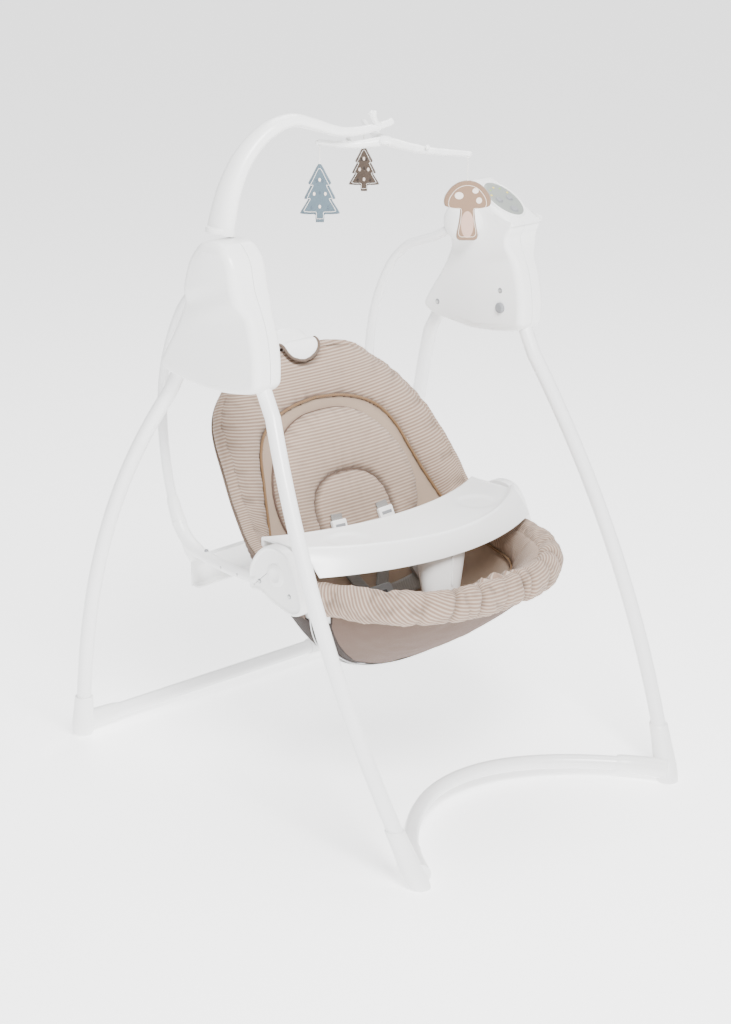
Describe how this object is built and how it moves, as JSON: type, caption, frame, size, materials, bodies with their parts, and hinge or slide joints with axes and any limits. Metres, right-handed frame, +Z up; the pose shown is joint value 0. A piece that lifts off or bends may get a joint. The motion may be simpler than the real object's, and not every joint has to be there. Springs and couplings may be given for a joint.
{
  "type": "baby swing",
  "caption": "Battery-driven infant swing: padded reclining seat with tray on two arms in a folding tube frame, with a toy mobile.",
  "frame": {"origin": "on the floor, under the middle of the frame's footprint", "axes": "+Z up, -Y the way the seated child faces, +X towards the motor side"},
  "size_m": [0.7518, 0.8973, 1.1577],
  "materials": {
    "circuit": "coated board",
    "grey_plastic": "fine matte",
    "insert_fabric": "padded, fine stripes with piping",
    "nylon": "natural nylon",
    "panel_plastic": "satin",
    "skirt_fabric": "plain woven",
    "steel": "drawn",
    "string": "thin cord",
    "stripe_fabric": "woven with fine horizontal stripes",
    "toy_blue": "printed felt",
    "toy_brown": "printed felt",
    "toy_tan": "printed felt",
    "webbing": "flat woven webbing",
    "white_plastic": "satin moulded",
    "white_tube": "satin powder coat",
    "yellow_plastic": "satin"
  },
  "bodies": {
    "frame": {"hub_inner_l": "white_plastic", "hub_outer_l": "white_plastic", "hub_inner_r": "white_plastic", "hub_outer_r": "white_plastic", "swing_bush_l": "nylon", "swing_bush_r": "nylon", "rear_leg_l": "white_tube", "rear_leg_r": "white_tube", "rear_foot_l": "white_plastic", "rear_foot_r": "white_plastic", "rear_base_tube": "white_tube", "control_panel": "panel_plastic", "battery_door": "white_plastic", "circuit_board": "circuit", "motor": "steel"},
    "front_frame": {"front_leg_l": "white_tube", "front_leg_r": "white_tube", "front_foot_l": "white_plastic", "front_foot_r": "white_plastic", "front_base_tube": "white_tube", "fold_knuckle_l": "grey_plastic", "fold_knuckle_r": "grey_plastic"},
    "swing_frame": {"swing_shaft_l": "steel", "swing_shaft_r": "steel", "arm_collar_l": "white_plastic", "arm_collar_r": "white_plastic", "swing_arm_l": "white_tube", "swing_arm_r": "white_tube", "seat_tube_l": "white_plastic", "seat_tube_r": "white_plastic", "seat_bracket_l": "white_plastic", "seat_bracket_r": "white_plastic", "rear_brace": "white_plastic"},
    "seat": {"seat_shell": "white_plastic", "seat_pad": "stripe_fabric", "infant_insert": "insert_fabric", "seat_skirt": "skirt_fabric", "shoulder_strap_l": "webbing", "shoulder_strap_r": "webbing", "harness_buckle": "grey_plastic"},
    "tray": {"tray": "white_plastic", "tray_post": "white_plastic"},
    "toy_arm": {"toy_arm": "white_plastic"},
    "mobile": {"mobile_body": "white_plastic"},
    "toy_l": {"toy_tree_tall": "toy_blue", "toy_string_l": "string"},
    "toy_b": {"toy_tree_small": "toy_brown", "toy_string_b": "string"},
    "toy_r": {"toy_mushroom": "toy_tan", "toy_string_r": "string"},
    "power_button": {"power_button": "yellow_plastic"},
    "music_button": {"music_button": "grey_plastic"},
    "timer_button": {"timer_button": "grey_plastic"},
    "fold_button_l": {"fold_button_l": "grey_plastic"},
    "fold_button_r": {"fold_button_r": "grey_plastic"},
    "snap_button_l": {"snap_button_l": "grey_plastic"},
    "snap_button_r": {"snap_button_r": "grey_plastic"},
    "drive_gear": {"drive_gear": "nylon"},
    "motor_pinion": {"motor_pinion": "steel"},
    "recline_lever": {"recline_lever": "grey_plastic"}
  },
  "joints": [
    {"name": "swing_pivot", "type": "hinge", "parent": "frame", "child": "swing_frame", "pos_m": [0, 0.036, 0.92], "axis": [1, 0, 0], "range_deg": [-18, 18]},
    {"name": "front_fold", "type": "hinge", "parent": "frame", "child": "front_frame", "pos_m": [0, -0.05, 0.776], "axis": [1, 0, 0], "range_deg": [0, 42]},
    {"name": "seat_recline", "type": "hinge", "parent": "swing_frame", "child": "seat", "pos_m": [0, -0.06, 0.39], "axis": [1, 0, 0], "range_deg": [-15, 0]},
    {"name": "tray_hinge", "type": "hinge", "parent": "seat", "child": "tray", "pos_m": [0, -0.006, 0.452], "axis": [1, 0, 0], "range_deg": [-70, 0]},
    {"name": "recline_lever_squeeze", "type": "hinge", "parent": "seat", "child": "recline_lever", "pos_m": [0, 0.1231, 0.4642], "axis": [1, 0, 0], "range_deg": [0, 18], "stiffness_Nm_per_rad": 1.5},
    {"name": "toy_arm_swivel", "type": "hinge", "parent": "frame", "child": "toy_arm", "pos_m": [-0.295, 0.038, 0.977], "axis": [0, 0, 1], "range_deg": [-80, 80]},
    {"name": "mobile_spin", "type": "hinge", "parent": "toy_arm", "child": "mobile", "pos_m": [0, -0.032, 1.104], "axis": [0, 0, 1], "continuous": true},
    {"name": "toy_l_swing", "type": "hinge", "parent": "mobile", "child": "toy_l", "pos_m": [-0.096, 0.022, 1.0958], "axis": [1, 0, 0], "range_deg": [-25, 25]},
    {"name": "toy_b_swing", "type": "hinge", "parent": "mobile", "child": "toy_b", "pos_m": [0.064, 0.088, 1.1028], "axis": [1, 0, 0], "range_deg": [-25, 25]},
    {"name": "toy_r_swing", "type": "hinge", "parent": "mobile", "child": "toy_r", "pos_m": [0.056, -0.166, 1.0828], "axis": [1, 0, 0], "range_deg": [-25, 25]},
    {"name": "power_button_press", "type": "slide", "parent": "frame", "child": "power_button", "axis": [0, 0.5, -0.866], "range_m": [0, 0.0015], "stiffness_N_per_m": 300},
    {"name": "music_button_press", "type": "slide", "parent": "frame", "child": "music_button", "axis": [0, 0.5, -0.866], "range_m": [0, 0.0015], "stiffness_N_per_m": 300},
    {"name": "timer_button_press", "type": "slide", "parent": "frame", "child": "timer_button", "axis": [0, 0.5, -0.866], "range_m": [0, 0.0015], "stiffness_N_per_m": 300},
    {"name": "fold_button_l_press", "type": "slide", "parent": "frame", "child": "fold_button_l", "axis": [-1, 0, 0], "range_m": [0, 0.0025], "stiffness_N_per_m": 500},
    {"name": "fold_button_r_press", "type": "slide", "parent": "frame", "child": "fold_button_r", "axis": [1, 0, 0], "range_m": [0, 0.0025], "stiffness_N_per_m": 500},
    {"name": "snap_button_l_press", "type": "slide", "parent": "swing_frame", "child": "snap_button_l", "axis": [0, 0, -1], "range_m": [0, 0.0025], "stiffness_N_per_m": 300},
    {"name": "snap_button_r_press", "type": "slide", "parent": "swing_frame", "child": "snap_button_r", "axis": [0, 0, -1], "range_m": [0, 0.0025], "stiffness_N_per_m": 300},
    {"name": "drive_gear_spin", "type": "hinge", "parent": "frame", "child": "drive_gear", "pos_m": [0.3, 0.036, 0.852], "axis": [1, 0, 0], "continuous": true},
    {"name": "motor_pinion_spin", "type": "hinge", "parent": "frame", "child": "motor_pinion", "pos_m": [0.3, 0.004, 0.852], "axis": [1, 0, 0], "continuous": true}
  ],
  "couplings": [
    {"joint": "motor_pinion_spin", "follows": "drive_gear_spin", "ratio": -3}
  ]
}
